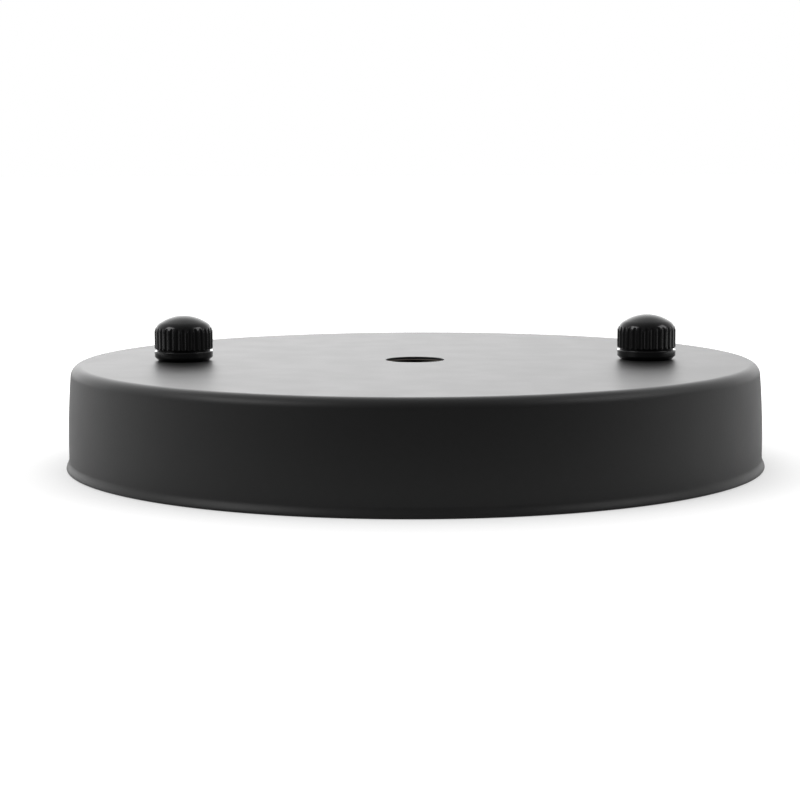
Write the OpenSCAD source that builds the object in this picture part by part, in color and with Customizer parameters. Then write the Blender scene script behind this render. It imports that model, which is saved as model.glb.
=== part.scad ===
// Ceiling canopy of a pendant light: a drawn steel cup that hides the junction box.
// A folded crossbar goes on the ceiling, and its two machine screws come up through
// the cup's face, where domed and fluted cap nuts hold it.
// The ceiling is the plane z = 0 and +Z points into the room, so the cap nuts are on top.
// The two cap nuts lie along X.

/* [Canopy] */
// Outer diameter over the flared rim
canopy_d = 116; // [104:1:150]
// Height from the ceiling to the flat face
canopy_h = 17; // [16:0.5:30]
// Thickness of the drawn sheet
sheet_t = 0.6; // [0.5:0.1:1]
// Outer radius of the shoulder between wall and face
shoulder_r = 1.8; // [1.3:0.1:4]
// Radius of the slow barrel curve of the wall, seen from the side
wall_crown_r = 135; // [100:5:400]
// Height above the ceiling at which the wall stands upright
wall_upright_z = 4; // [3:0.5:6]
// How far the rim flares out from the wall
rim_flare = 0.5; // [0.1:0.05:1]
// Height over which the flare runs out into the wall
rim_flare_h = 1.7; // [0.8:0.1:2.6]
// Rounding of the outer edge of the rim
rim_edge_r = 0.2; // [0.05:0.05:0.3]
// Diameter of the hole for the cable gland in the middle of the face
cable_hole_d = 9.8; // [6:0.1:14]

/* [Screws] */
// Distance between the two machine screws
screw_spacing = 77.4; // [74:0.2:80]
// Thread diameter of the machine screws
screw_d = 4; // [3:0.5:5]
// Height of a pan head
head_h = 2.4; // [1.6:0.1:2.8]
// Width of the lock nuts across their flats
nut_af = 7; // [6.5:0.5:9]
// Thickness of the lock nuts
nut_h = 3.2; // [2:0.1:3.4]
// Length of the earth screw under its head
earth_screw_len = 6; // [4.5:0.1:6.4]
// Thickness of the toothed washer under the earth screw
earth_washer_t = 0.8; // [0.5:0.1:1]

/* [Crossbar] */
// Width of the crossbar strip
bar_w = 16; // [14:0.5:20]
// Thickness of the strip
bar_t = 1.2; // [0.8:0.1:1.6]
// How far the ears and the earth lug stand off the ceiling
ear_rise = 4.7; // [4.5:0.1:5]
// Inner radius of the bends
bend_r = 1; // [0.6:0.1:1.4]
// Slope of the step between seat and ear, in degrees
bend_angle = 45; // [40:1:60]
// Distance between the middles of the two ceiling slots
slot_spacing = 37; // [34:0.5:38]
// Length of a ceiling slot, end to end
slot_len = 13; // [8:0.5:14]
// Width of a ceiling slot
slot_w = 4.5; // [3.5:0.1:5.5]
// Diameter of the hole in the middle of the crossbar
lead_hole_d = 10.2; // [8:0.1:11]
// Width of the lug that takes the earth screw
lug_w = 10; // [9.5:0.5:11]
// Distance from the middle of the crossbar to the earth screw
lug_reach = 19; // [18:0.5:24]

/* [Cap nuts] */
// Outer diameter of a cap nut
cap_d = 9.7; // [9:0.1:12]
// Height of a cap nut from its seat to the top of the dome
cap_h = 6; // [5.6:0.1:8]
// Radius of the dome
dome_r = 7; // [6.4:0.1:12]
// Rounding between dome and fluted skirt
dome_edge_r = 2.1; // [1.6:0.05:2.4]
// Number of flutes round a cap nut
flute_count = 30; // [12:1:32]
// Radius of the round cutter that shapes a flute
flute_cutter_r = 0.45; // [0.3:0.05:0.6]
// Depth of a flute
flute_depth = 0.2; // [0.1:0.05:0.3]
// Height of the smooth foot that stands on the seat ring
foot_h = 0.25; // [0.2:0.05:0.6]
// How much narrower the foot is than the skirt, on the radius
foot_inset = 0.35; // [0.3:0.05:0.6]
// Thickness of the dome over the end of the blind bore
dome_wall = 1.45; // [1.2:0.05:1.8]
// Height of the seat ring under a cap nut
ring_h = 1.65; // [1.2:0.05:2.4]
// Outer diameter of the seat ring
ring_d = 9.7; // [9:0.05:12]
// Chamfer at the foot of the seat ring, across and up
ring_chamfer = 0.65; // [0.2:0.05:0.9]

/* [Clearances] */
// Gap all round between a screw thread and the thread that it runs in
thread_gap = 0.05; // [0.02:0.01:0.1]
// Gap all round between a screw and a ring or washer
ring_gap = 0.2; // [0.1:0.05:0.4]
// Gap all round between a screw and its hole in the canopy
canopy_gap = 0.5; // [0.3:0.05:1]
// Gap between the tip of a screw and the end of the blind bore
tip_gap = 0.5; // [0.2:0.1:1]

/* [Hidden] */
$fn = 96;
canopy_fn = 240;
flute_fn = 24;
// How far a cutter stands past the face that it cuts
past = 0.5;
arc_steps = 8;

screw_x = screw_spacing / 2;
screw_r = screw_d / 2;
head_r = screw_d;
ear_top = ear_rise + bar_t;
seat_z = canopy_h + ring_h;
bore_depth = cap_h - dome_wall;
screw_len = seat_z + bore_depth - tip_gap - ear_rise;
cap_r = cap_d / 2;
foot_r = cap_r - foot_inset;
flute_pos = cap_r - flute_depth + flute_cutter_r;

paint_black = [0.11, 0.11, 0.115];
gloss_black = [0.05, 0.05, 0.055];
zinc = [0.75, 0.76, 0.78];
earth_green = [0.16, 0.45, 0.2];

// Points of an arc from angle a0 to angle a1
function arc(cx, cy, r, a0, a1, steps = arc_steps) =
    [for (i = [0:steps]) let (a = a0 + (a1 - a0) * i / steps) [cx + r * cos(a), cy + r * sin(a)]];
function reversed(points) = [for (i = [len(points) - 1:-1:0]) points[i]];

// Half section of the canopy, from the hole out to the rim. The wall is a slow arc that
// meets the shoulder arc without a step, and a half cosine wave flares it at the rim.
wall_r = canopy_d / 2 - rim_flare;
crown_x = wall_r - wall_crown_r;
shoulder_rise = canopy_h - shoulder_r - wall_upright_z;
shoulder_angle = asin(shoulder_rise / (wall_crown_r - shoulder_r));
shoulder_x = crown_x + (wall_crown_r - shoulder_r) * cos(shoulder_angle);
function flare(z) = z > rim_flare_h ? 0 : rim_flare * (1 + cos(180 * z / rim_flare_h)) / 2;
function flare_side(inset, z_low) =
    [for (i = [0:arc_steps]) let (z = rim_flare_h + (z_low - rim_flare_h) * i / arc_steps)
        [wall_r - inset + flare(z), z]];
function canopy_side(inset) = concat(
    arc(shoulder_x, canopy_h - shoulder_r, shoulder_r - inset, 90, shoulder_angle),
    arc(crown_x, wall_upright_z, wall_crown_r - inset, shoulder_angle, 0));

module canopy() {
    rim_x = wall_r + flare(rim_edge_r) - rim_edge_r;
    color(paint_black)
    difference() {
        rotate_extrude($fn = canopy_fn)
            polygon(concat(
                [[0, canopy_h]],
                canopy_side(0),
                flare_side(0, rim_edge_r),
                [for (p = arc(rim_x, rim_edge_r, rim_edge_r, 0, -90, 3)) if (p.y < rim_edge_r) p],
                reversed(concat([[0, canopy_h - sheet_t]], canopy_side(sheet_t), flare_side(sheet_t, 0)))));
        translate([0, 0, canopy_h - sheet_t - past])
            cylinder(d = cable_hole_d, h = sheet_t + 2 * past);
        for (x = [-screw_x, screw_x])
            translate([x, 0, canopy_h - sheet_t - past])
                cylinder(r = screw_r + canopy_gap, h = sheet_t + 2 * past);
    }
}

// Side outline of strip that leaves the seat at x_bend and steps up to a raised end at x_end
step_depth = 2 * bend_r + bar_t;
step_slope = (ear_rise - step_depth + step_depth * cos(bend_angle)) / sin(bend_angle);
step_len = step_slope * cos(bend_angle) + step_depth * sin(bend_angle);
function stepped_strip(x_bend, x_end) = concat(
    arc(x_bend, bar_t + bend_r, bend_r + bar_t, -90, bend_angle - 90),
    arc(x_bend + step_len, ear_rise - bend_r, bend_r, 90 + bend_angle, 90),
    [[x_end, ear_rise], [x_end, ear_top]],
    arc(x_bend + step_len, ear_rise - bend_r, bend_r + bar_t, 90, 90 + bend_angle),
    arc(x_bend, bar_t + bend_r, bend_r, bend_angle - 90, -90));

module slot(length, width, depth) {
    linear_extrude(depth)
        union() {
            square([length - width, width], center = true);
            for (x = [-1, 1])
                translate([x * (length - width) / 2, 0])
                    circle(d = width);
        }
}

module crossbar() {
    ear_end = screw_x + bar_w / 2;
    ear_flat = head_r + past;
    side = stepped_strip(screw_x - ear_flat - step_len, ear_end);
    lug_end = lug_reach + lug_w / 2;
    lug_bend = lug_reach - ear_flat - step_len;
    lug_side = concat([[0, 0]], stepped_strip(lug_bend, lug_end), [[0, bar_t]]);
    color(zinc)
    difference() {
        union() {
            intersection() {
                rotate([90, 0, 0])
                    linear_extrude(bar_w, center = true)
                        polygon(concat(side, reversed([for (p = side) [-p.x, p.y]])));
                slot(2 * ear_end, bar_w, ear_top);
            }
            intersection() {
                rotate([90, 0, 90])
                    linear_extrude(lug_w, center = true)
                        polygon(lug_side);
                rotate([0, 0, 90])
                    slot(2 * lug_end, lug_w, ear_top);
            }
        }
        translate([0, 0, -past])
            cylinder(d = lead_hole_d, h = bar_t + 2 * past);
        for (x = [-1, 1])
            translate([x * slot_spacing / 2, 0, -past])
                slot(slot_len, slot_w, bar_t + 2 * past);
        for (x = [-screw_x, screw_x])
            translate([x, 0, ear_rise - past])
                cylinder(r = screw_r + thread_gap, h = bar_t + 2 * past);
        translate([0, lug_reach, ear_rise - past])
            cylinder(r = screw_r + thread_gap, h = bar_t + 2 * past);
    }
}

// Pan-head machine screw: the head hangs below z = 0 and the shank points up
head_edge_r = 0.6 * head_h;
recess_w = 0.22 * screw_d;
recess_len = 1.1 * screw_d;
recess_depth = 0.55 * head_h;
tip_chamfer = 0.15 * screw_d;
module machine_screw(length) {
    color(zinc)
    difference() {
        rotate_extrude()
            polygon(concat(
                [[0, length], [screw_r - tip_chamfer, length], [screw_r, length - tip_chamfer],
                 [screw_r, 0], [head_r, 0]],
                arc(head_r - head_edge_r, head_edge_r - head_h, head_edge_r, 0, -90),
                [[0, -head_h]]));
        for (turn = [0, 90])
            rotate([0, 0, turn])
                translate([-recess_len / 2, -recess_w / 2, -head_h - past])
                    cube([recess_len, recess_w, recess_depth + past]);
    }
}
module left_screw() {
    translate([-screw_x, 0, ear_rise]) machine_screw(screw_len);
}
module right_screw() {
    translate([screw_x, 0, ear_rise]) machine_screw(screw_len);
}

// Hexagon nut with its corners chamfered at both ends
nut_corner_r = nut_af / 2 / cos(30);
nut_chamfer = nut_corner_r - nut_af / 2;
module lock_nut() {
    color(zinc)
    translate([0, 0, ear_top])
    difference() {
        intersection() {
            cylinder(r = nut_corner_r, h = nut_h, $fn = 6);
            rotate_extrude()
                polygon([[0, 0], [nut_af / 2, 0], [nut_corner_r, nut_chamfer],
                         [nut_corner_r, nut_h - nut_chamfer], [nut_af / 2, nut_h], [0, nut_h]]);
        }
        translate([0, 0, -past])
            cylinder(r = screw_r + thread_gap, h = nut_h + 2 * past);
    }
}
module left_lock_nut() {
    translate([-screw_x, 0, 0]) lock_nut();
}
module right_lock_nut() {
    translate([screw_x, 0, 0]) lock_nut();
}

// Smooth ring that stands on the painted face and carries the cap nut
module seat_ring() {
    color(gloss_black)
    translate([0, 0, canopy_h])
    difference() {
        rotate_extrude()
            polygon([[0, 0], [ring_d / 2 - ring_chamfer, 0], [ring_d / 2, ring_chamfer],
                     [ring_d / 2, ring_h], [0, ring_h]]);
        translate([0, 0, -past])
            cylinder(r = screw_r + ring_gap, h = ring_h + 2 * past);
    }
}
module left_seat_ring() {
    translate([-screw_x, 0, 0]) seat_ring();
}
module right_seat_ring() {
    translate([screw_x, 0, 0]) seat_ring();
}

// Domed cap nut. The edge arc touches both the skirt and the dome, and each flute is the
// track of a round cutter, so it ends in an arch where it runs out on the dome.
skirt_edge_r = 0.3;
edge_x = cap_r - dome_edge_r;
dome_z = cap_h - dome_r;
edge_z = dome_z + sqrt(pow(dome_r - dome_edge_r, 2) - pow(edge_x, 2));
edge_angle = atan2(edge_z - dome_z, edge_x);
module cap_nut() {
    color(gloss_black)
    translate([0, 0, seat_z])
    difference() {
        rotate_extrude()
            polygon(concat(
                [[0, 0], [foot_r, 0], [foot_r, foot_h]],
                arc(cap_r - skirt_edge_r, foot_h + skirt_edge_r, skirt_edge_r, -90, 0, 4),
                arc(edge_x, edge_z, dome_edge_r, 0, edge_angle),
                [for (p = arc(0, dome_z, dome_r, edge_angle, 90)) if (p.y > edge_z + dome_edge_r * sin(edge_angle)) p]));
        for (i = [0:flute_count - 1])
            rotate([0, 0, 360 * i / flute_count])
                translate([flute_pos, 0, foot_h - past])
                    cylinder(r = flute_cutter_r, h = cap_h, $fn = flute_fn);
        translate([0, 0, -past])
            cylinder(r = screw_r + thread_gap, h = bore_depth + past);
    }
}
module left_cap_nut() {
    translate([-screw_x, 0, 0]) cap_nut();
}
module right_cap_nut() {
    translate([screw_x, 0, 0]) cap_nut();
}

// Earth screw: it points down into the lug, with a toothed washer for the earth wire
module earth_screw() {
    translate([0, lug_reach, ear_top + earth_washer_t])
        rotate([180, 0, 0])
            color(earth_green)
                machine_screw(earth_screw_len);
}
washer_r = head_r + 0.3;
tooth_count = 12;
tooth_gap = 0.7;
tooth_depth = 0.9;
module earth_washer() {
    color(zinc)
    translate([0, lug_reach, ear_top])
    difference() {
        cylinder(r = washer_r, h = earth_washer_t);
        translate([0, 0, -past])
            cylinder(r = screw_r + ring_gap, h = earth_washer_t + 2 * past);
        for (i = [0:tooth_count - 1])
            rotate([0, 0, 360 * i / tooth_count])
                translate([washer_r - tooth_depth, -tooth_gap / 2, -past])
                    cube([tooth_depth + past, tooth_gap, earth_washer_t + 2 * past]);
    }
}

canopy();
crossbar();
left_screw();
right_screw();
left_lock_nut();
right_lock_nut();
left_seat_ring();
right_seat_ring();
left_cap_nut();
right_cap_nut();
earth_screw();
earth_washer();
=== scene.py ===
"""Ceiling canopy of a pendant light, lying rim down as on a table, with its cap nuts up.

The ceiling is the plane z = 0 and +Z points into the room. The two cap nuts lie along X.
Lengths in the sections are in millimetres, and each mesh is put in metres as it is made.
"""

import bmesh
import bpy
import numpy as np
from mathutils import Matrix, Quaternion, Vector


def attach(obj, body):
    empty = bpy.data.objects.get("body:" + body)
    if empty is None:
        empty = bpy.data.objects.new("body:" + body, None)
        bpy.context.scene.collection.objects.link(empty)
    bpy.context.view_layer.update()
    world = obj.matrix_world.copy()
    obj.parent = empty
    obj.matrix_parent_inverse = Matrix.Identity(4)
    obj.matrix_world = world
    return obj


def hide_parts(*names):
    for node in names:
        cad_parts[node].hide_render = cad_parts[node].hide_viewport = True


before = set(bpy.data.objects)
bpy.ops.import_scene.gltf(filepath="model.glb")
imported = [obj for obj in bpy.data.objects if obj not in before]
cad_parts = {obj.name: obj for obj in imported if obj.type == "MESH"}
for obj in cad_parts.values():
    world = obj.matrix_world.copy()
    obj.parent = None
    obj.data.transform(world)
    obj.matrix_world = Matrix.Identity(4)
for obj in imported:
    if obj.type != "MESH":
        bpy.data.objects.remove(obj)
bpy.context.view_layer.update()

# ------------------------------------------------------------------ canopy
# One round cup, drawn from 0.6 mm sheet steel, with a flared rim that stands on the ceiling.
# It is powder coated satin black inside and out, so every cut edge is softly rounded. Two
# screws of the crossbar come up through its face, and the cable leaves by the middle hole.
canopy_h = 17.0
sheet_t = 0.6
wall_r = 57.5
wall_crown_r = 135.0
wall_upright_z = 4.0
shoulder_r = 1.8
rim_flare = 0.5
rim_flare_h = 1.7
rim_edge_r = 0.2
cable_hole_r = 4.9
screw_x = 38.7
screw_hole_r = 2.5
canopy_columns = 384
cell_column = 74
chord_points = 112
coat_edge_r = 0.1

crown_x = wall_r - wall_crown_r
shoulder_angle = np.degrees(
    np.arcsin((canopy_h - shoulder_r - wall_upright_z) / (wall_crown_r - shoulder_r)))
shoulder_x = crown_x + (wall_crown_r - shoulder_r) * np.cos(np.radians(shoulder_angle))


def arc(cx, cz, r, a0, a1, steps):
    """Points at equal angles, from a0 to a1 degrees, on a circle of radius r round (cx, cz)."""
    a = np.radians(np.linspace(a0, a1, steps + 1))
    return np.stack([cx + r * np.cos(a), cz + r * np.sin(a)], axis=1)


def flared(inset, heights):
    """Wall points at those heights: the upright wall plus a half cosine wave towards z = 0,
    radius = wall - inset + flare * (1 + cos(180 * z / flare height)) / 2."""
    wave = np.where(heights < rim_flare_h,
                    rim_flare * (1 + np.cos(np.pi * heights / rim_flare_h)) / 2, 0)
    return np.stack([wall_r - inset + wave, heights], axis=1)


def turned(profile, columns):
    """A profile carried round the z axis: column j of row i is the point (radius i, height i)
    turned by 360 * j / columns degrees."""
    turn = 2 * np.pi * np.arange(columns) / columns
    r, z = profile[:, :1], profile[:, 1:]
    return np.stack([r * np.cos(turn), r * np.sin(turn), z + 0 * turn], axis=-1)


def ring_quads(rows, columns, first=0):
    """Quads of a grid whose columns close into a ring: each joins point (i, j) to its
    neighbours in the next column and the next row."""
    i, j = np.meshgrid(np.arange(rows - 1), np.arange(columns), indexing="ij")
    k = (j + 1) % columns
    corners = [i * columns + j, i * columns + k, (i + 1) * columns + k, (i + 1) * columns + j]
    return first + np.stack(corners, axis=-1).reshape(-1, 4)


def closed_piece(name, points, quads, crease=40):
    """An object of those points, given in millimetres, with its doubles merged, its normals
    outwards, smooth shading and a hard edge wherever two faces meet at more than crease."""
    mesh = bpy.data.meshes.new(name)
    mesh.vertices.add(len(points))
    mesh.vertices.foreach_set("co", (np.asarray(points) / 1000).ravel())
    mesh.loops.add(quads.size)
    mesh.loops.foreach_set("vertex_index", quads.ravel().astype(np.int32))
    mesh.polygons.add(len(quads))
    mesh.polygons.foreach_set("loop_start", np.arange(0, quads.size, 4, dtype=np.int32))
    mesh.update(calc_edges=True)
    shell = bmesh.new()
    shell.from_mesh(mesh)
    bmesh.ops.remove_doubles(shell, verts=shell.verts, dist=1e-6)
    bmesh.ops.recalc_face_normals(shell, faces=shell.faces)
    shell.to_mesh(mesh)
    shell.free()
    mesh.polygons.foreach_set("use_smooth", np.ones(len(mesh.polygons), dtype=bool))
    mesh.set_sharp_from_angle(angle=np.radians(crease))
    piece = bpy.data.objects.new(name, mesh)
    bpy.context.scene.collection.objects.link(piece)
    return piece


def canopy_wall():
    """Side profile from the edge of the flat face, down the outside and up the inside."""
    rim_x = flared(0, np.array([rim_edge_r]))[0, 0] - rim_edge_r
    inner_foot = flared(sheet_t, np.array([0.0]))[0, 0]
    return np.concatenate([
        arc(shoulder_x, canopy_h - shoulder_r, shoulder_r, 90, shoulder_angle, 22),
        arc(crown_x, wall_upright_z, wall_crown_r, shoulder_angle, 0, 24)[1:],
        flared(0, np.linspace(wall_upright_z, rim_flare_h, 4))[1:],
        flared(0, np.linspace(rim_flare_h, rim_edge_r, 16))[1:],
        arc(rim_x, rim_edge_r, rim_edge_r, 0, -90, 6)[1:],
        arc(inner_foot + coat_edge_r, coat_edge_r, coat_edge_r, -90, -180, 4),
        flared(sheet_t, np.linspace(coat_edge_r, rim_flare_h, 12))[1:],
        flared(sheet_t, np.linspace(rim_flare_h, wall_upright_z, 3))[1:],
        arc(crown_x, wall_upright_z, wall_crown_r - sheet_t, 0, shoulder_angle, 16)[1:],
        arc(shoulder_x, canopy_h - shoulder_r, shoulder_r - sheet_t, shoulder_angle, 90, 14)[1:]])


def face_cell(outline, hole_x, hole_r):
    """Rows from a cell's outline in to its hole, over the rounded hole edge, down through the
    sheet and back out on the inner face. The point of a row is (1 - s) * outline + s * ring,
    where the ring is the hole seen from its centre in the outline point's direction."""
    centre = np.array([hole_x, 0.0])
    away = outline - centre
    away /= np.linalg.norm(away, axis=1, keepdims=True)
    inner_z = canopy_h - sheet_t
    out_r = hole_r + coat_edge_r
    edge = np.concatenate([
        arc(out_r, canopy_h - coat_edge_r, coat_edge_r, 90, 180, 5),
        arc(out_r, inner_z + coat_edge_r, coat_edge_r, 180, 270, 5)])
    share = np.array([0, 0.005, 0.03, 0.1, 0.25, 0.45, 0.65, 0.8, 0.9, 0.96, 1.0])
    near = centre + (out_r + 0.12) * away
    across = outline + share[:, None, None] * (near - outline)
    flat = lambda z: np.concatenate([across, np.full(across.shape[:2] + (1,), z)], axis=-1)
    down = np.concatenate([centre + edge[:, :1, None] * away,
                           np.repeat(edge[:, 1:, None], len(outline), axis=1)], axis=-1)
    return np.concatenate([flat(canopy_h), down, flat(inner_z)[::-1]])


def canopy_shell():
    """The wall, and the face in three cells, one round each hole, that share two straight
    chords. Rim point k of the face is (r * cos a, r * sin a) with a = 360 * k / columns."""
    def rim(first, last):
        turn = 2 * np.pi * np.arange(first, last + 1) / canopy_columns
        return shoulder_x * np.stack([np.cos(turn), np.sin(turn)], axis=1)

    def chord(k):
        share = np.linspace(0, 1, chord_points)[1:-1, None]
        return rim(k, k) * (1 - share) + rim(-k, -k) * share

    near, far, half = cell_column, canopy_columns // 2 - cell_column, canopy_columns // 2
    cells = [
        (np.concatenate([rim(-near, near), chord(near)]), screw_x, screw_hole_r),
        (np.concatenate([rim(near, far), chord(far), rim(-far, -near), chord(near)[::-1]]),
         0, cable_hole_r),
        (np.concatenate([rim(far, half + near), chord(far)[::-1]]), -screw_x, screw_hole_r)]
    wall = turned(canopy_wall(), canopy_columns)
    points, quads = [wall.reshape(-1, 3)], [ring_quads(*wall.shape[:2])]
    for outline, hole_x, hole_r in cells:
        rows = face_cell(outline, hole_x, hole_r)
        quads.append(ring_quads(*rows.shape[:2], first=sum(map(len, points))))
        points.append(rows.reshape(-1, 3))
    return np.concatenate(points), np.concatenate(quads)


def finish_of(name, color, roughness, metallic=0.0):
    """A Principled finish with its plain values on the shader's own sockets."""
    material = bpy.data.materials.new(name)
    material.use_nodes = True
    shader = material.node_tree.nodes["Principled BSDF"]
    shader.inputs["Base Color"].default_value = (*color, 1)
    shader.inputs["Roughness"].default_value = roughness
    shader.inputs["Metallic"].default_value = metallic
    shader.inputs["IOR"].default_value = 1.5
    return material


def add_node(material, kind, values=(), **settings):
    """A node of that kind, with its input sockets and its settings filled in."""
    node = material.node_tree.nodes.new(kind)
    for key, value in settings.items():
        setattr(node, key, value)
    for key, value in dict(values).items():
        node.inputs[key].default_value = value
    return node


def noise_range(material, scale, detail, low, high, stretch=(1, 1, 1)):
    """Noise on Object coordinates, spread from low to high over its usual span."""
    links = material.node_tree.links
    place = add_node(material, "ShaderNodeTexCoord")
    mapping = add_node(material, "ShaderNodeMapping", {"Scale": stretch})
    noise = add_node(material, "ShaderNodeTexNoise", {"Scale": scale, "Detail": detail})
    span = add_node(material, "ShaderNodeMapRange",
                    {"From Min": 0.3, "From Max": 0.7, "To Min": low, "To Max": high})
    links.new(place.outputs["Object"], mapping.inputs["Vector"])
    links.new(mapping.outputs["Vector"], noise.inputs["Vector"])
    links.new(noise.outputs["Fac"], span.inputs["Value"])
    return span.outputs["Result"]


def add_bump(material, height, distance, strength=1.0):
    """Bump from a height socket, with the height of 1 standing distance metres proud."""
    links = material.node_tree.links
    bump = add_node(material, "ShaderNodeBump", {"Strength": strength, "Distance": distance})
    links.new(height, bump.inputs["Height"])
    links.new(bump.outputs["Normal"], material.node_tree.nodes["Principled BSDF"].inputs["Normal"])


def set_roughness(material, socket):
    """Drives the finish's roughness from a socket."""
    material.node_tree.links.new(
        socket, material.node_tree.nodes["Principled BSDF"].inputs["Roughness"])


def mixed_where(material, masks, color, other):
    """Base colour that turns to the other one where the product of the masks is 1."""
    links = material.node_tree.links
    mix = add_node(material, "ShaderNodeMixRGB", {"Color1": (*color, 1), "Color2": (*other, 1)})
    product = add_node(material, "ShaderNodeMath", operation="MULTIPLY")
    for mask, socket in zip(masks, product.inputs):
        links.new(mask, socket)
    links.new(product.outputs[0], mix.inputs["Fac"])
    links.new(mix.outputs[0], material.node_tree.nodes["Principled BSDF"].inputs["Base Color"])


def less_than(material, value, limit):
    """A mask that is 1 where the value lies under the limit, and 0 elsewhere."""
    test = add_node(material, "ShaderNodeMath", {1: limit}, operation="LESS_THAN")
    material.node_tree.links.new(value, test.inputs[0])
    return test.outputs[0]


coat_color = (0.0105, 0.0105, 0.0108)
# Lighter colour and height of the hole's burr band: bare steel and a painted highlight.
bare_steel_and_highlight_color = (0.30, 0.27, 0.24)
bare_steel_and_highlight_h = 0.22
powder_coat = finish_of("satin_black_powder_coat", coat_color, 0.46)
set_roughness(powder_coat, noise_range(powder_coat, 160, 3, 0.455, 0.475))
add_bump(powder_coat, noise_range(powder_coat, 2600, 2, 0, 1), 0.000004)

# The coat is thin on the punched burr inside the cable hole. Its lowest 0.22 mm is coloured a
# lighter brown-grey, partly the bare steel that shows there and partly a painted highlight along
# the hole's lower edge.
links = powder_coat.node_tree.links
place = add_node(powder_coat, "ShaderNodeTexCoord")
height = add_node(powder_coat, "ShaderNodeSeparateXYZ")
across = add_node(powder_coat, "ShaderNodeVectorMath", {1: (1, 1, 0)}, operation="MULTIPLY")
radius = add_node(powder_coat, "ShaderNodeVectorMath", operation="LENGTH")
links.new(place.outputs["Object"], height.inputs[0])
links.new(place.outputs["Object"], across.inputs[0])
links.new(across.outputs[0], radius.inputs[0])
in_hole = less_than(powder_coat, radius.outputs["Value"], (cable_hole_r + 0.02) / 1000)
on_burr = less_than(powder_coat, height.outputs["Z"], (canopy_h - sheet_t + bare_steel_and_highlight_h) / 1000)
mixed_where(powder_coat, (in_hole, on_burr), coat_color, bare_steel_and_highlight_color)

canopy_skin = closed_piece("drawn_canopy", *canopy_shell())
canopy_skin.data.materials.append(powder_coat)
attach(canopy_skin, "canopy")
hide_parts("canopy")

# ---------------------------------------------------------------- crossbar
# Folded zinc-plated steel strip that is screwed to the ceiling inside the canopy. Its edges
# are sheared and tumbled, and its raised ears and earth lug are tapped.
bar_edge_r = 0.00014


def tumbled_copy(node, name, width):
    """A copy of a CAD node with its triangles merged and its edges rounded by tumbling."""
    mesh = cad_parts[node].data.copy()
    mesh.name = name
    shell = bmesh.new()
    shell.from_mesh(mesh)
    bmesh.ops.remove_doubles(shell, verts=shell.verts, dist=1e-6)
    bmesh.ops.dissolve_limit(shell, angle_limit=np.radians(0.5), verts=shell.verts,
                             edges=shell.edges)
    shell.to_mesh(mesh)
    shell.free()
    mesh.polygons.foreach_set("use_smooth", np.ones(len(mesh.polygons), dtype=bool))
    mesh.set_sharp_from_angle(angle=np.radians(35))
    mesh.materials.clear()
    piece = bpy.data.objects.new(name, mesh)
    bpy.context.scene.collection.objects.link(piece)
    rounding = piece.modifiers.new("tumbled edges", "BEVEL")
    rounding.width = width
    rounding.segments = 3
    rounding.limit_method = "ANGLE"
    rounding.angle_limit = np.radians(35)
    rounding.harden_normals = True
    return piece


zinc = finish_of("zinc_plate", (0.62, 0.63, 0.65), 0.36, metallic=1.0)
set_roughness(zinc, noise_range(zinc, 900, 4, 0.28, 0.44, stretch=(0.15, 1, 1)))
add_bump(zinc, noise_range(zinc, 3000, 2, 0, 1, stretch=(0.1, 1, 1)), 0.000003)
tint = add_node(zinc, "ShaderNodeValToRGB")
tint.color_ramp.elements[0].color = (0.54, 0.56, 0.60, 1)
tint.color_ramp.elements[1].color = (0.68, 0.68, 0.66, 1)
zinc.node_tree.links.new(noise_range(zinc, 220, 3, 0, 1), tint.inputs["Fac"])
zinc.node_tree.links.new(tint.outputs["Color"],
                         zinc.node_tree.nodes["Principled BSDF"].inputs["Base Color"])

bar = tumbled_copy("crossbar", "folded_crossbar", bar_edge_r)
bar.data.materials.append(zinc)
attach(bar, "bracket")
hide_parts("crossbar")

# ---------------------------------------------------------- machine screws
# Two 4 mm pan-head screws, rolled from steel wire and zinc plated. They come up through the
# crossbar's ears and the canopy's face into the cap nuts, with their heads on the ceiling side.
ear_rise = 4.7
screw_len = 18.0
crest_r = 2.0
root_r = 1.57
pitch = 0.7
head_r = 4.0
head_h = 2.4
head_edge_r = 1.44
head_seat_edge_r = 0.12
recess_depth = 1.32
recess_half_w = 0.44
recess_half_len = 2.2
recess_taper = 0.78
recess_lip = 0.06
tip_chamfer = 0.6
thread_start = 0.06
thread_rows = 10


def thread_r(heights, turn, gap=0.0):
    """Radius of a right-hand thread: a trapezoid wave of (height / pitch - turn / 360), with
    a flat of 1/8 pitch on the crest and 1/4 pitch at the root."""
    wave = (heights / pitch - turn / (2 * np.pi)) % 1.0
    away = np.abs(wave - 0.5)
    return gap + crest_r - (crest_r - root_r) * np.clip((away - 1 / 16) / (5 / 16), 0, 1)


def cross_r(turn):
    """Radius of the cross recess along each direction: the further way out of two bars."""
    c, s = np.abs(np.cos(turn)) + 1e-9, np.abs(np.sin(turn)) + 1e-9
    one = np.minimum(recess_half_len / c, recess_half_w / s)
    other = np.minimum(recess_half_len / s, recess_half_w / c)
    return np.maximum(one, other)


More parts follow.
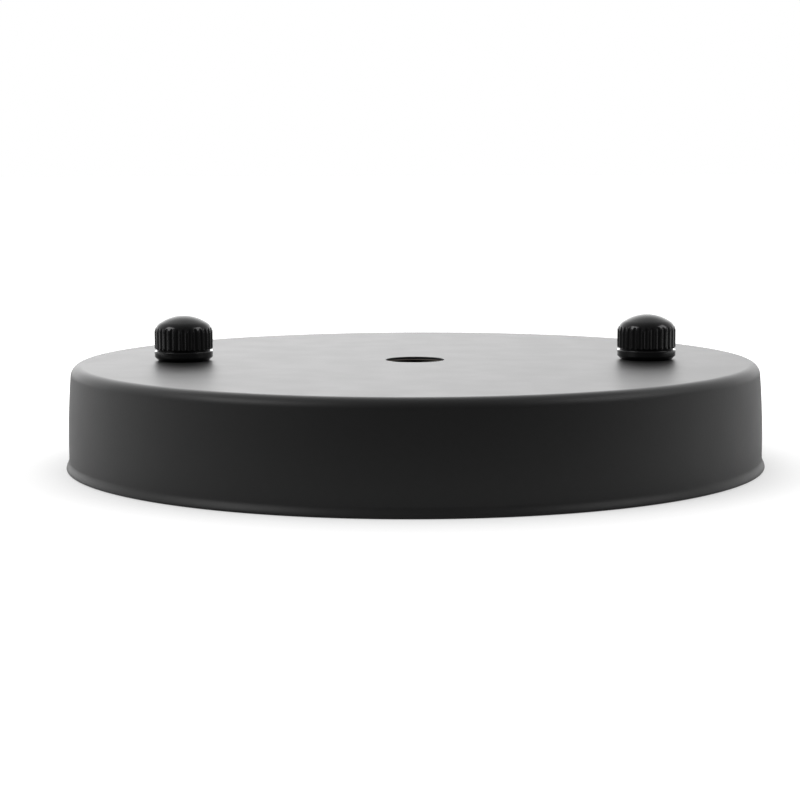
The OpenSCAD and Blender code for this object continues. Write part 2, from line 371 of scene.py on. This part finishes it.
def machine_screw(seat_z, length):
    """Rows from the recess floor over the pan head, up the thread and in to the tip's centre,
    with the head's seat at seat_z. A row's radius may change with the direction."""
    arm = np.degrees(np.arctan2(recess_half_w, recess_half_len))
    quarter = np.concatenate([np.linspace(-arm, arm, 5), np.linspace(arm, 45, 7)[1:],
                              np.linspace(45, 90 - arm, 7)[1:-1]])
    turn = np.radians(np.concatenate([quarter + q for q in (0, 90, 180, 270)]))
    cross = cross_r(turn)
    flat_r = head_r - head_edge_r
    rows = [(recess_taper * cross * s, -head_h + recess_depth) for s in (0, 0.4, 0.8, 1.0)]
    lip = cross + recess_lip
    rows += [(cross, -head_h + 0.05), (cross * 1.015, -head_h + 0.012), (lip, -head_h)]
    rows += [(lip + (flat_r - lip) * s, -head_h) for s in (0.3, 0.6, 0.8, 0.95)]
    rows += list(arc(flat_r, -head_h + head_edge_r, head_edge_r, -90, 0, 12))
    rows += list(arc(head_r - head_seat_edge_r, -head_seat_edge_r, head_seat_edge_r, 0, 90, 4))
    rows += [(crest_r + 0.3, 0.0), (crest_r + thread_start, 0.0)]
    heights = np.arange(thread_start, length, pitch / thread_rows)
    heights = np.append(heights[:-1], length)
    for z in heights:
        r = thread_r(seat_z + z, turn)
        rows.append((np.minimum(r, crest_r - tip_chamfer + (length - z)), z))
    rows += [(s * (crest_r - tip_chamfer), length) for s in (0.9, 0.5, 0.0)]
    r = np.stack([np.broadcast_to(r, turn.shape) for r, z in rows])
    z = np.array([z for r, z in rows])[:, None] + seat_z
    points = np.stack([r * np.cos(turn), r * np.sin(turn), z + 0 * r], axis=-1)
    return points.reshape(-1, 3), ring_quads(*r.shape)


def fasten(name, node, points, quads, material, slot):
    """One small fastener or washer, finished and carried by the crossbar."""
    piece = closed_piece(name, points, quads, crease=33)
    piece.data.materials.append(material)
    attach(piece, "bracket")
    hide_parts(node)


for side, x in (("left", -screw_x), ("right", screw_x)):
    points, quads = machine_screw(ear_rise, screw_len)
    fasten(f"{side}_machine_screw", f"{side}_screw", points + [x, 0, 0], quads,
           zinc, "zinc_plate")

# --------------------------------------------------------------- lock nuts
# One zinc-plated hexagon nut on each machine screw, tightened on top of the crossbar's ear.
# Both ends are chamfered by turning, which cuts the corners in curved edges.
ear_top = 5.9
nut_h = 3.2
nut_half_af = 3.5
nut_chamfer = 0.54
nut_corner_cut = 0.04
nut_face_inset = 0.06
nut_cone_slope = 1.15
nut_mouth = 0.2
nut_columns = 96
nut_bore_gap = 0.05


def lock_nut():
    """Rows from the bore's foot out over the faces and back down the threaded bore. The
    outside radius is the smaller one of the hexagon and of the cone of each chamfer."""
    turn = 2 * np.pi * np.arange(nut_columns) / nut_columns
    hexagon = nut_half_af / np.cos((turn + np.pi / 6) % (np.pi / 3) - np.pi / 6)
    hexagon = np.minimum(hexagon, nut_half_af + nut_chamfer - nut_corner_cut)
    steps = np.linspace(0, nut_chamfer, 7)
    up = np.concatenate([steps, np.linspace(nut_chamfer, nut_h - nut_chamfer, 4)[1:-1],
                         nut_h - steps[::-1]])
    cone = nut_half_af - nut_face_inset + nut_cone_slope * np.minimum(up, nut_h - up)[:, None]
    outer = np.minimum(hexagon, cone)
    mouth = crest_r + nut_bore_gap + nut_mouth
    bore = np.arange(nut_h - nut_mouth, nut_mouth, -pitch / thread_rows)
    thread = thread_r(ear_top + bore[:, None], turn, nut_bore_gap)
    level = lambda r: np.full((1, nut_columns), r)
    r = np.concatenate([level(mouth), level(3.0), level(3.35), outer, level(3.35), level(3.0),
                        level(mouth), thread, level(mouth)])
    z = np.concatenate([[0, 0, 0], up, [nut_h] * 3, bore, [0]])[:, None] + ear_top
    points = np.stack([r * np.cos(turn), r * np.sin(turn), z + 0 * r], axis=-1)
    return points.reshape(-1, 3), ring_quads(*r.shape)


for side, x in (("left", -screw_x), ("right", screw_x)):
    points, quads = lock_nut()
    fasten(f"{side}_hexagon_nut", f"{side}_lock_nut", points + [x, 0, 0], quads,
           zinc, "zinc_plate")

# --------------------------------------------------- earth screw and washer
# A short screw, dyed green to mark the earth, and a toothed steel washer that bites into the
# wire and the crossbar's lug. The washer's teeth are twisted out of its plane.
lug_y = 19.0
earth_screw_len = 6.0
earth_seat_z = 6.7
washer_r = 4.3
washer_bore_r = 2.2
washer_t = 0.8
tooth_count = 12
tooth_gap = 0.7
tooth_root_r = 3.4
tooth_t = 0.5
tooth_twist = 0.14
washer_edge = 0.05
tooth_edge = 0.02


def toothed_washer():
    """Rows from the bore out over the top, round the teeth and back below. Between teeth the
    radius stops at the root, and a tooth's height runs linearly across it by the twist."""
    step = 2 * np.pi / tooth_count
    edge = tooth_gap / 2 / washer_r
    part = np.concatenate([np.linspace(-edge, edge, 5), np.linspace(edge, step - edge, 9)[1:-1],
                           [step - edge - 1e-4]])
    turn = (step * np.arange(tooth_count)[:, None] + part).ravel()
    place = np.tile((part - step / 2) / (step / 2 - edge), tooth_count)
    gap = np.tile(np.abs(part) < edge - 1e-6, tooth_count)
    limit = np.where(gap, tooth_root_r, washer_r - tooth_edge)
    reach = np.array([washer_bore_r + washer_edge, 2.6, 3.1, 3.3, 3.5, 3.8, 4.1,
                      washer_r - tooth_edge])
    r = np.minimum(reach[:, None], limit)
    out = np.clip((r - 3.1) / 0.5, 0, 1)
    half = washer_t / 2 + (tooth_t - washer_t) / 2 * out
    mid = washer_t / 2 + tooth_twist * out * place
    rim = np.minimum(washer_r, limit + tooth_edge)[None]
    over, under = mid + half, mid - half
    level = lambda value: np.full((1, turn.size), value)
    bore, bore_top = level(washer_bore_r), level(washer_t - washer_edge)
    r_all = np.concatenate([bore, r, rim, rim, r[::-1], bore, bore])
    z_all = np.concatenate([bore_top, over, over[-1:] - 2 * tooth_edge,
                            under[-1:] + 2 * tooth_edge, under[::-1], level(washer_edge),
                            bore_top])
    points = np.stack([r_all * np.cos(turn), r_all * np.sin(turn) + lug_y, z_all + ear_top],
                      axis=-1)
    return points.reshape(-1, 3), ring_quads(*r_all.shape)


green = finish_of("green_dyed_zinc", (0.03, 0.22, 0.07), 0.34, metallic=0.75)
set_roughness(green, noise_range(green, 900, 4, 0.27, 0.42))
add_bump(green, noise_range(green, 3000, 2, 0, 1), 0.000003)

points, quads = machine_screw(0.0, earth_screw_len)
fasten("green_earth_screw", "earth_screw",
       points * [1, -1, -1] + [0, lug_y, earth_seat_z], quads, green, "earth_green")
fasten("toothed_washer", "earth_washer", *toothed_washer(), zinc, "zinc_plate")

# -------------------------------------------------------------- seat rings
# A smooth turned ring under each cap nut, chamfered at its foot and enamelled gloss black.
# It stands loose on the painted face and keeps the turning nut off it.
ring_r = 4.85
ring_h = 1.65
ring_bore_r = 2.2
ring_chamfer = 0.65
ring_edge_r = 0.12
ring_bore_edge = 0.1
ring_columns = 160


def seat_ring():
    """Turned profile: bore, foot, chamfer, upright side and a flat top with soft edges."""
    r, e = ring_r, ring_edge_r
    foot = ring_r - ring_chamfer
    turn_in = e * np.tan(np.radians(22.5))
    return np.concatenate([
        [[ring_bore_r, ring_bore_edge], [ring_bore_r + ring_bore_edge, 0.0], [3.0, 0.0]],
        arc(foot - turn_in, e, e, -90, -45, 3),
        arc(r - e, ring_chamfer + turn_in, e, -45, 0, 3),
        [[r, 0.9], [r, 1.3]],
        arc(r - e, ring_h - e, e, 0, 90, 6),
        [[4.3, ring_h], [3.0, ring_h]],
        arc(ring_bore_r + ring_bore_edge, ring_h - ring_bore_edge, ring_bore_edge, 90, 180, 3),
        [[ring_bore_r, ring_bore_edge]]])


enamel = finish_of("gloss_black_enamel", (0.009, 0.009, 0.0095), 0.15)
set_roughness(enamel, noise_range(enamel, 500, 3, 0.12, 0.18))
add_bump(enamel, noise_range(enamel, 900, 2, 0, 1), 0.000003)

for side, x in (("left", -screw_x), ("right", screw_x)):
    rows = turned(seat_ring(), ring_columns) + [x, 0, canopy_h]
    ring = closed_piece(f"{side}_turned_ring", rows.reshape(-1, 3), ring_quads(*rows.shape[:2]))
    ring.data.materials.append(enamel)
    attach(ring, f"{side}_ring")
    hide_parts(f"{side}_seat_ring")

# ---------------------------------------------------------------- cap nuts
# A domed cap nut, turned and fluted for the fingers, closes each screw's end. Each flute is
# the track of a round cutter, which runs out in an arch on the edge of the dome.
seat_z = canopy_h + ring_h
cap_r = 4.85
cap_h = 6.0
dome_r = 7.0
dome_edge_r = 2.1
foot_r = 4.5
foot_h = 0.25
skirt_edge_r = 0.3
foot_fillet_r = 0.05
foot_edge_r = 0.08
flute_count = 30
flute_cutter_r = 0.45
flute_pos = 5.1
bore_depth = 4.55
bore_mouth = 0.3
bore_end_r = 0.8
soft_ridge = 0.012
soft_middle_r = 4.0

edge_x = cap_r - dome_edge_r
dome_z = cap_h - dome_r
edge_z = dome_z + np.sqrt((dome_r - dome_edge_r) ** 2 - edge_x ** 2)
edge_angle = np.degrees(np.arctan2(edge_z - dome_z, edge_x))


def cap_nut():
    """Rows from the dome's top down the skirt, under the foot and up the blind bore. The
    outside radius is a soft minimum of the turned profile and of the cutter's track,
    radius = cutter place * cos a - sqrt(cutter radius ^ 2 - (cutter place * sin a) ^ 2)."""
    half = np.degrees(np.arcsin(flute_cutter_r / flute_pos))
    lip = np.degrees(np.arccos((cap_r ** 2 + flute_pos ** 2 - flute_cutter_r ** 2)
                               / (2 * cap_r * flute_pos)))
    flank = np.array([lip + 0.45, lip + 0.17, lip, lip - 0.2, 3.95, 3.1, 2.1, 1.05])
    part = np.concatenate([-flank, [0], flank[::-1], [180 / flute_count]])
    turn = np.radians((360 / flute_count * np.arange(flute_count)[:, None] + part).ravel())
    away = np.radians(np.minimum(np.abs(np.tile(part, flute_count)), half - 1e-6))
    track = flute_pos * np.cos(away) - np.sqrt(
        flute_cutter_r ** 2 - (flute_pos * np.sin(away)) ** 2)
    profile = np.concatenate([
        arc(0, dome_z, dome_r, 90, edge_angle, 16),
        arc(edge_x, edge_z, dome_edge_r, edge_angle, 0, 30)[1:],
        np.stack([np.full(7, cap_r), np.linspace(edge_z, foot_h + skirt_edge_r, 7)], axis=1)[1:],
        arc(cap_r - skirt_edge_r, foot_h + skirt_edge_r, skirt_edge_r, 0, -90, 7)[1:],
        arc(foot_r + foot_fillet_r, foot_h - foot_fillet_r, foot_fillet_r, 90, 180, 2)[1:],
        arc(foot_r - foot_edge_r, foot_edge_r, foot_edge_r, 0, -90, 3),
        [[3.8, 0], [2.6, 0], [crest_r + nut_bore_gap + bore_mouth, 0]]])
    r = np.repeat(profile[:, :1], turn.size, axis=1)
    outside = profile[:, 1] > foot_h - 0.06
    both = [np.exp(-(radius - soft_middle_r) / soft_ridge) for radius in (r, track)]
    soft = soft_middle_r - soft_ridge * np.log(both[0] + both[1])
    r = np.where(outside[:, None], np.minimum(r, soft), r)
    r = np.where(r > foot_r - 0.06, r, profile[:, :1])
    bore = np.arange(bore_mouth, bore_depth - 0.4, pitch / 8)
    thread = thread_r(seat_z + bore[:, None], turn, nut_bore_gap)
    top = np.array([root_r + nut_bore_gap, bore_end_r, 0.0])[:, None] + 0 * turn
    r = np.concatenate([r, thread, top])
    z = np.concatenate([profile[:, 1], bore, [bore_depth - bore_mouth, bore_depth, bore_depth]])
    z = z[:, None] + seat_z + 0 * turn
    points = np.stack([r * np.cos(turn), r * np.sin(turn), z], axis=-1)
    return points.reshape(-1, 3), ring_quads(*r.shape)


for side, x in (("left", -screw_x), ("right", screw_x)):
    points, quads = cap_nut()
    cap = closed_piece(f"{side}_domed_nut", points + [x, 0, 0], quads, crease=50)
    cap.data.materials.append(enamel)
    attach(cap, f"{side}_cap")
    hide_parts(f"{side}_cap_nut")

# ------------------------------------------------------------------ camera
# A long lens a little above the canopy, as in the photograph, level but for a slight roll.
camera = bpy.data.objects.new("camera", bpy.data.cameras.new("camera"))
camera.data.sensor_width = 36
camera.data.lens = 93.18
camera.data.clip_start = 0.01
camera.location = (0, -0.3453, 0.05015)
aim = Vector((-0.0025186, 0, 0.010175)) - camera.location
camera.rotation_mode = "QUATERNION"
camera.rotation_quaternion = aim.to_track_quat("-Z", "Y") @ Quaternion((0, 0, 1), -0.0035)
bpy.context.scene.collection.objects.link(camera)
bpy.context.scene.camera = camera

# ---------------------------------------------------------- light and floor
# A plain product table with white cloth behind it and a dim room in front: the paint mirrors
# bright cloth from behind and nearly nothing from the front. Two soft lamps stand left and
# right, and one above lights the table only, so it can't be seen in the paint.
behind = [(0.0, 0.027), (0.22, 0.03), (0.4, 0.065), (0.6, 0.122), (0.72, 0.189), (0.8, 0.243),
          (0.87, 0.392), (0.94, 0.568), (0.985, 0.892), (1.0, 1.0)]
cloth_left, cloth_right, cloth_turn = 4.6, 3.6, 0.2
lamps = {"left": ((-0.64, -0.30, 0.54), 0.4, 1.6, True),
         "right": ((0.68, -0.16, 0.54), 0.4, 1.1, True),
         "top": ((0.0, -0.05, 0.8), 0.6, 1.8, False)}
table_front, table_back = (-0.16, 0.05), (-0.03, 0.8)
table_grey, table_half, table_z = 0.5, 6, -0.0001
# The table's glow rises from half at the canopy's foot to full at 0.1 m: a painted shade round the
# foot.
glow_at_painted_shade, glow_past_painted_shade = (wall_r / 1000, 0.5), (0.1, 1.0)

world = bpy.data.worlds.new("studio")
bpy.context.scene.world = world
world.use_nodes = True
world.node_tree.nodes.clear()
links = world.node_tree.links
direction = add_node(world, "ShaderNodeTexCoord")
parts = add_node(world, "ShaderNodeSeparateXYZ")
depth = add_node(world, "ShaderNodeMapRange", {"From Min": -1, "From Max": 1})
cloth = add_node(world, "ShaderNodeValToRGB")
for place, grey in behind[1:-1]:
    cloth.color_ramp.elements.new(place)
for element, (place, grey) in zip(cloth.color_ramp.elements, behind):
    element.position = place
    element.color = (grey, grey, grey, 1)
sideways = add_node(world, "ShaderNodeMapRange", {"From Min": -cloth_turn, "From Max": cloth_turn,
                                                  "To Min": cloth_left, "To Max": cloth_right})
mirrored = add_node(world, "ShaderNodeBackground")
white = add_node(world, "ShaderNodeBackground", {"Color": (1, 1, 1, 1)})
path = add_node(world, "ShaderNodeLightPath")
mix = add_node(world, "ShaderNodeMixShader")
out = add_node(world, "ShaderNodeOutputWorld")
links.new(direction.outputs["Generated"], parts.inputs[0])
links.new(parts.outputs["Y"], depth.inputs["Value"])
links.new(depth.outputs["Result"], cloth.inputs["Fac"])
links.new(parts.outputs["X"], sideways.inputs["Value"])
links.new(cloth.outputs["Color"], mirrored.inputs["Color"])
links.new(sideways.outputs["Result"], mirrored.inputs["Strength"])
links.new(path.outputs["Is Camera Ray"], mix.inputs["Fac"])
links.new(mirrored.outputs[0], mix.inputs[1])
links.new(white.outputs[0], mix.inputs[2])
links.new(mix.outputs[0], out.inputs["Surface"])

for name, (place, size, watts, seen_in_paint) in lamps.items():
    lamp = bpy.data.objects.new(name, bpy.data.lights.new(name, "AREA"))
    lamp.data.size = size
    lamp.data.energy = watts
    lamp.location = place
    lamp.rotation_mode = "QUATERNION"
    lamp.rotation_quaternion = (-lamp.location).to_track_quat("-Z", "Y")
    lamp.visible_glossy = seen_in_paint
    bpy.context.scene.collection.objects.link(lamp)

floor_mesh = bpy.data.meshes.new("table_top")
corners = [(x * table_half, y * table_half, table_z)
           for x, y in ((-1, -1), (1, -1), (1, 1), (-1, 1))]
floor_mesh.from_pydata(corners, [], [(0, 1, 2, 3)])
floor = bpy.data.objects.new("table_top", floor_mesh)
bpy.context.scene.collection.objects.link(floor)

# The table is white to the camera away from the canopy. Near the canopy's foot its glow fades from
# full to half, a painted shade that lies over the soft shadow the lamps cast there, and inside the
# closed canopy it does not glow and stays dark.
paper = bpy.data.materials.new("white_paper")
paper.use_nodes = True
paper.node_tree.nodes.clear()
floor_mesh.materials.append(paper)
links = paper.node_tree.links
place = add_node(paper, "ShaderNodeTexCoord")
parts = add_node(paper, "ShaderNodeSeparateXYZ")
depth = add_node(paper, "ShaderNodeMapRange",
                 {"From Min": table_front[0], "From Max": table_back[0],
                  "To Min": table_front[1], "To Max": table_back[1]})
mirrored = add_node(paper, "ShaderNodeBsdfDiffuse")
shaded = add_node(paper, "ShaderNodeBsdfDiffuse", {"Color": (*[table_grey] * 3, 1)})
across = add_node(paper, "ShaderNodeVectorMath", {1: (1, 1, 0)}, operation="MULTIPLY")
radius = add_node(paper, "ShaderNodeVectorMath", operation="LENGTH")
outside = add_node(paper, "ShaderNodeMath", {1: wall_r / 1000}, operation="GREATER_THAN")
# Painted shade: the glow is weaker near the canopy's foot.
foot_shade_fade = add_node(paper, "ShaderNodeMapRange", {"From Min": glow_at_painted_shade[0], "From Max": glow_past_painted_shade[0],
                                              "To Min": glow_at_painted_shade[1], "To Max": glow_past_painted_shade[1]})
level = add_node(paper, "ShaderNodeMath", operation="MULTIPLY")
glow = add_node(paper, "ShaderNodeEmission")
both = add_node(paper, "ShaderNodeAddShader")
path = add_node(paper, "ShaderNodeLightPath")
mix = add_node(paper, "ShaderNodeMixShader")
out = add_node(paper, "ShaderNodeOutputMaterial")
links.new(place.outputs["Object"], parts.inputs[0])
links.new(parts.outputs["Y"], depth.inputs["Value"])
links.new(depth.outputs["Result"], mirrored.inputs["Color"])
links.new(place.outputs["Object"], across.inputs[0])
links.new(across.outputs[0], radius.inputs[0])
links.new(radius.outputs["Value"], outside.inputs[0])
links.new(outside.outputs[0], level.inputs[0])
links.new(radius.outputs["Value"], foot_shade_fade.inputs["Value"])
links.new(foot_shade_fade.outputs["Result"], level.inputs[1])
links.new(level.outputs[0], glow.inputs["Strength"])
links.new(shaded.outputs[0], both.inputs[0])
links.new(glow.outputs[0], both.inputs[1])
links.new(path.outputs["Is Camera Ray"], mix.inputs["Fac"])
links.new(mirrored.outputs[0], mix.inputs[1])
links.new(both.outputs[0], mix.inputs[2])
links.new(mix.outputs[0], out.inputs["Surface"])

bpy.context.scene.view_settings.view_transform = "Standard"
